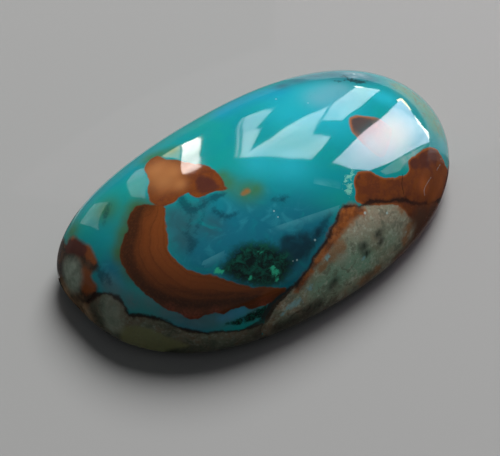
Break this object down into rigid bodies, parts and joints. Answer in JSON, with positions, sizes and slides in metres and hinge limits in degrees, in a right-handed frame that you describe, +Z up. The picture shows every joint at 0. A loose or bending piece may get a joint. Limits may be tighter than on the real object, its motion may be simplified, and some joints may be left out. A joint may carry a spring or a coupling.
{
  "type": "gem silica cabochon",
  "caption": "Polished high-domed freeform oval stone of blue-green chalcedony with brown bands and a mottled grey-green edge, on a flat ground base.",
  "frame": {"origin": "middle of the stone's box in plan, on the plane of its flat base", "axes": "+Z up out of the base through the dome, X along the stone's length, Y across it"},
  "size_m": [0.031, 0.0176, 0.0088],
  "materials": {
    "gem_silica": "high polish; milky turquoise to deep blue chalcedony with banded brown iron oxide, dark green malachite and mottled grey-green matrix"
  },
  "bodies": {
    "root": {"gem_silica": "gem_silica"}
  },
  "joints": []
}
